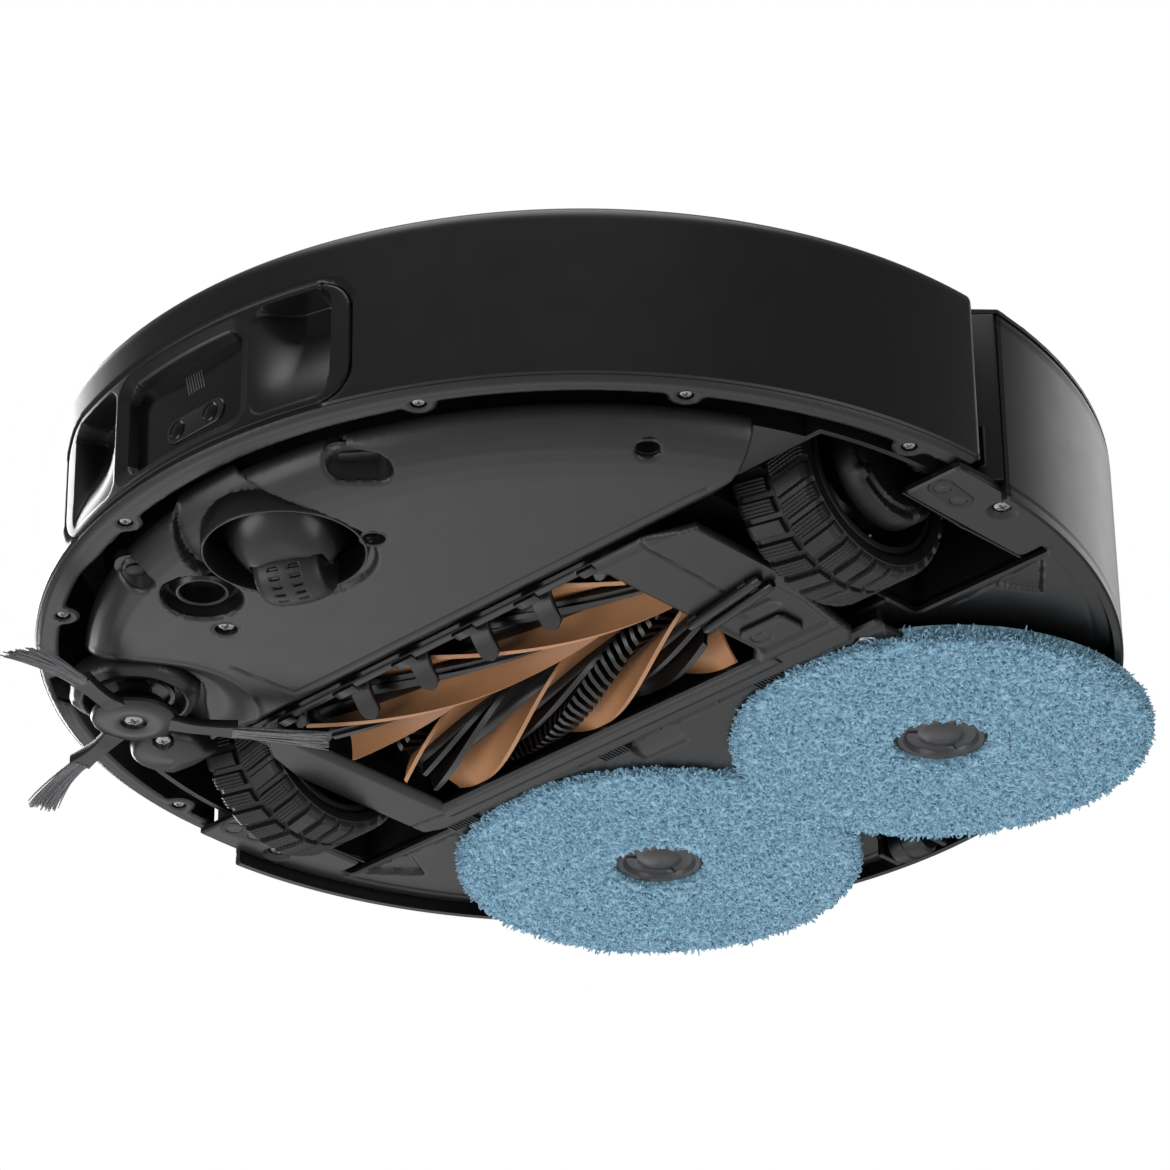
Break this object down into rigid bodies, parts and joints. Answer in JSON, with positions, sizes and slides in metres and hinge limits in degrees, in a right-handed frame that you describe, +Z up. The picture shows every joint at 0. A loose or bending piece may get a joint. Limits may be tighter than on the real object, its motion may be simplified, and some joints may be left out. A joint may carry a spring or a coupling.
{
  "type": "robot vacuum",
  "caption": "Round floor-cleaning robot with sprung front bumper, rubber brush rollers, side brush, drive wheels, swivel caster and rotating mop pads.",
  "frame": {"origin": "centre of the body on the floor, under the middle of its bounding box", "axes": "+Z up, front and bumper face -Y, the side brush is on -X"},
  "size_m": [0.35, 0.353, 0.097],
  "materials": {
    "battery_wrap": "shrink-wrapped pack",
    "black_shell": "satin moulded plastic",
    "board_green": "coated circuit board",
    "bristle_grey": "nylon bristles",
    "chrome_screw": "plated pan head screws",
    "contact_metal": "plated contact strips",
    "copper_rubber": "copper coloured silicone rubber",
    "deck_black": "satin moulded plastic",
    "disc_grey": "moulded plastic",
    "filter_white": "pleated filter paper",
    "gloss_window": "polished smoked window",
    "grey_plate": "fine-grained moulded plastic",
    "inner_black": "moulded plastic",
    "lens_grey": "translucent smoked lens",
    "mop_blue": "shaggy microfibre pile",
    "motor_grey": "painted motor cans",
    "rim_plastic": "moulded plastic",
    "soft_rubber": "soft rubber",
    "steel_pin": "ground pin",
    "tank_grey": "translucent smoked tank",
    "tyre_rubber": "ribbed rubber tread"
  },
  "bodies": {
    "chassis": {"bottom_plate": "grey_plate", "mid_plate": "grey_plate", "rear_plate": "grey_plate", "main_frame": "inner_black", "frame_wall": "inner_black", "wheel_housings": "inner_black", "rear_shell": "black_shell", "side_strips": "black_shell", "top_deck": "deck_black", "brush_housing": "inner_black", "bottom_screws": "chrome_screw", "floor_sensors": "lens_grey", "charging_contacts": "contact_metal", "rear_window": "gloss_window", "battery_pack": "battery_wrap", "main_board": "board_green", "fan_motor": "motor_grey", "water_tank": "tank_grey", "roller_motor": "motor_grey", "turret_cap": "deck_black"},
    "bumper": {"bumper_shell": "black_shell", "bumper_flange": "black_shell", "bumper_insert": "black_shell", "sensor_window": "gloss_window", "camera_lenses": "lens_grey", "bumper_screws": "chrome_screw"},
    "suspension_left": {"gearbox_left": "inner_black"},
    "suspension_right": {"gearbox_right": "inner_black"},
    "wheel_left": {"tyre_left": "tyre_rubber", "rim_left": "rim_plastic"},
    "wheel_right": {"tyre_right": "tyre_rubber", "rim_right": "rim_plastic"},
    "caster_swivel": {"caster_fork": "inner_black"},
    "caster_wheel": {"caster_roller": "soft_rubber"},
    "front_roller": {"front_roller_core": "inner_black", "front_roller_fins": "copper_rubber"},
    "rear_roller": {"rear_roller_core": "inner_black", "rear_roller_fins": "copper_rubber"},
    "cover": {"brush_cover": "grey_plate", "cover_rods": "soft_rubber"},
    "latch": {"cover_latch": "grey_plate"},
    "brush_arm": {"side_arm": "grey_plate"},
    "side_brush": {"side_brush_hub": "disc_grey", "side_brush_arms": "soft_rubber", "side_brush_bristles": "bristle_grey", "side_brush_screw": "chrome_screw"},
    "mop_lift": {"mop_carrier": "inner_black", "mop_motor": "motor_grey"},
    "mop_drive": {"mop_worm": "steel_pin"},
    "mop_left": {"mop_disc_left": "disc_grey", "mop_pad_left": "mop_blue"},
    "mop_right": {"mop_disc_right": "disc_grey", "mop_pad_right": "mop_blue"},
    "idler": {"rear_idler": "soft_rubber"},
    "lid": {"top_lid": "deck_black"},
    "bin": {"dust_bin": "tank_grey", "bin_filter": "filter_white"},
    "laser": {"laser_head": "gloss_window"},
    "power_key": {"power_button": "deck_black"},
    "home_key": {"home_button": "deck_black"}
  },
  "joints": [
    {"name": "bumper_press", "type": "slide", "parent": "chassis", "child": "bumper", "axis": [0, 1, 0], "range_m": [0, 0.0025], "stiffness_N_per_m": 600, "springref_m": -0.002},
    {"name": "suspension_left", "type": "hinge", "parent": "chassis", "child": "suspension_left", "pos_m": [0.149, 0.038, 0.054], "axis": [1, 0, 0], "range_deg": [0, 14], "stiffness_Nm_per_rad": 0.3, "springref_deg": 17.19},
    {"name": "wheel_spin_left", "type": "hinge", "parent": "suspension_left", "child": "wheel_left", "pos_m": [0.121, -0.009, 0.035], "axis": [1, 0, 0], "continuous": true},
    {"name": "suspension_right", "type": "hinge", "parent": "chassis", "child": "suspension_right", "pos_m": [-0.149, 0.038, 0.054], "axis": [1, 0, 0], "range_deg": [0, 14], "stiffness_Nm_per_rad": 0.3, "springref_deg": 17.19},
    {"name": "wheel_spin_right", "type": "hinge", "parent": "suspension_right", "child": "wheel_right", "pos_m": [-0.121, -0.009, 0.035], "axis": [1, 0, 0], "continuous": true},
    {"name": "caster_turn", "type": "hinge", "parent": "chassis", "child": "caster_swivel", "pos_m": [0, -0.13, 0.04], "axis": [0, 0, 1], "continuous": true},
    {"name": "caster_roll", "type": "hinge", "parent": "caster_swivel", "child": "caster_wheel", "pos_m": [-0.0038, -0.12184, 0.012], "axis": [0.9063, 0.4226, 0], "continuous": true},
    {"name": "front_roller_spin", "type": "hinge", "parent": "chassis", "child": "front_roller", "pos_m": [0, -0.0315, 0.027], "axis": [1, 0, 0], "continuous": true},
    {"name": "rear_roller_spin", "type": "hinge", "parent": "chassis", "child": "rear_roller", "pos_m": [0, 0.009, 0.027], "axis": [1, 0, 0], "continuous": true},
    {"name": "cover_release", "type": "slide", "parent": "chassis", "child": "cover", "axis": [0, 0, -1], "range_m": [0, 0.0035]},
    {"name": "latch_slide", "type": "slide", "parent": "cover", "child": "latch", "axis": [1, 0, 0], "range_m": [0, 0.003], "stiffness_N_per_m": 60, "springref_m": -0.002},
    {"name": "side_arm_swing", "type": "hinge", "parent": "chassis", "child": "brush_arm", "pos_m": [-0.128, -0.064, 0.017], "axis": [0, 0, 1], "range_deg": [-36, 0]},
    {"name": "side_brush_spin", "type": "hinge", "parent": "brush_arm", "child": "side_brush", "pos_m": [-0.1064, -0.0977, 0.01], "axis": [0, 0, 1], "continuous": true},
    {"name": "mop_lowering", "type": "slide", "parent": "chassis", "child": "mop_lift", "axis": [0, 0, -1], "range_m": [0, 0.0075]},
    {"name": "mop_worm_spin", "type": "hinge", "parent": "mop_lift", "child": "mop_drive", "pos_m": [0, 0.0884, 0.0445], "axis": [1, 0, 0], "continuous": true},
    {"name": "mop_left_spin", "type": "hinge", "parent": "mop_lift", "child": "mop_left", "pos_m": [0.064, 0.105, 0.03], "axis": [0, 0, 1], "continuous": true},
    {"name": "mop_right_spin", "type": "hinge", "parent": "mop_lift", "child": "mop_right", "pos_m": [-0.064, 0.105, 0.03], "axis": [0, 0, 1], "continuous": true},
    {"name": "rear_idler_spin", "type": "hinge", "parent": "chassis", "child": "idler", "pos_m": [0, 0.1645, 0.017], "axis": [1, 0, 0], "continuous": true},
    {"name": "lid_lift", "type": "slide", "parent": "chassis", "child": "lid", "axis": [0, 0, 1], "range_m": [0, 0.12]},
    {"name": "bin_lift", "type": "slide", "parent": "chassis", "child": "bin", "axis": [0, 0, 1], "range_m": [0, 0.09]},
    {"name": "laser_spin", "type": "hinge", "parent": "chassis", "child": "laser", "pos_m": [0, 0.072, 0.088], "axis": [0, 0, 1], "continuous": true},
    {"name": "power_press", "type": "slide", "parent": "chassis", "child": "power_key", "axis": [0, 0, -1], "range_m": [0, 0.0008], "stiffness_N_per_m": 600, "springref_m": -0.001},
    {"name": "home_press", "type": "slide", "parent": "chassis", "child": "home_key", "axis": [0, 0, -1], "range_m": [0, 0.0008], "stiffness_N_per_m": 600, "springref_m": -0.001}
  ],
  "couplings": [
    {"joint": "rear_roller_spin", "follows": "front_roller_spin", "ratio": -1},
    {"joint": "mop_right_spin", "follows": "mop_left_spin", "ratio": -1},
    {"joint": "mop_worm_spin", "follows": "mop_left_spin", "ratio": 12},
    {"joint": "bin_lift", "follows": "lid_lift", "ratio": 0.75}
  ]
}
